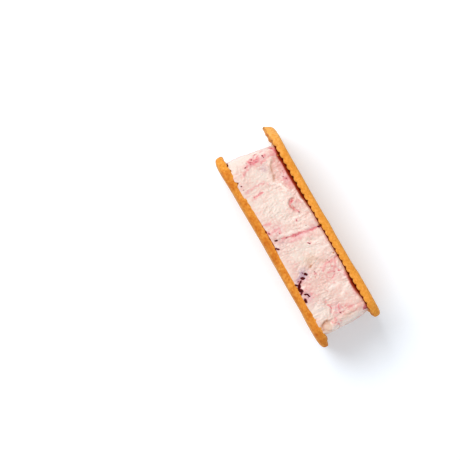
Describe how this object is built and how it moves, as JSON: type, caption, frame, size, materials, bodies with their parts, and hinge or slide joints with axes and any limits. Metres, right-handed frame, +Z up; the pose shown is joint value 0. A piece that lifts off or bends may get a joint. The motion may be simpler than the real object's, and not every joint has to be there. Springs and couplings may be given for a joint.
{
  "type": "butter sandwich cookie",
  "caption": "Oblong butter biscuits around a thick block of berry cream, a sandwich cookie standing on its long edge.",
  "frame": {"origin": "middle of the footprint, on the surface that the cookie stands on", "axes": "+X along the length, +Y through the layers towards the right biscuit, +Z up across the width"},
  "size_m": [0.0822, 0.026, 0.0437],
  "materials": {
    "butter_biscuit": "dry baked dough with a fine sandy grain, golden brown, darker in the grain and along the inner edges",
    "berry_cream": "soft whipped cream with a satin surface, pale pink with paler scoops, pinker ripples and dark scraps of berry skin"
  },
  "bodies": {
    "root": {"left_biscuit": "butter_biscuit", "right_biscuit": "butter_biscuit", "cream_filling": "berry_cream"}
  },
  "joints": []
}
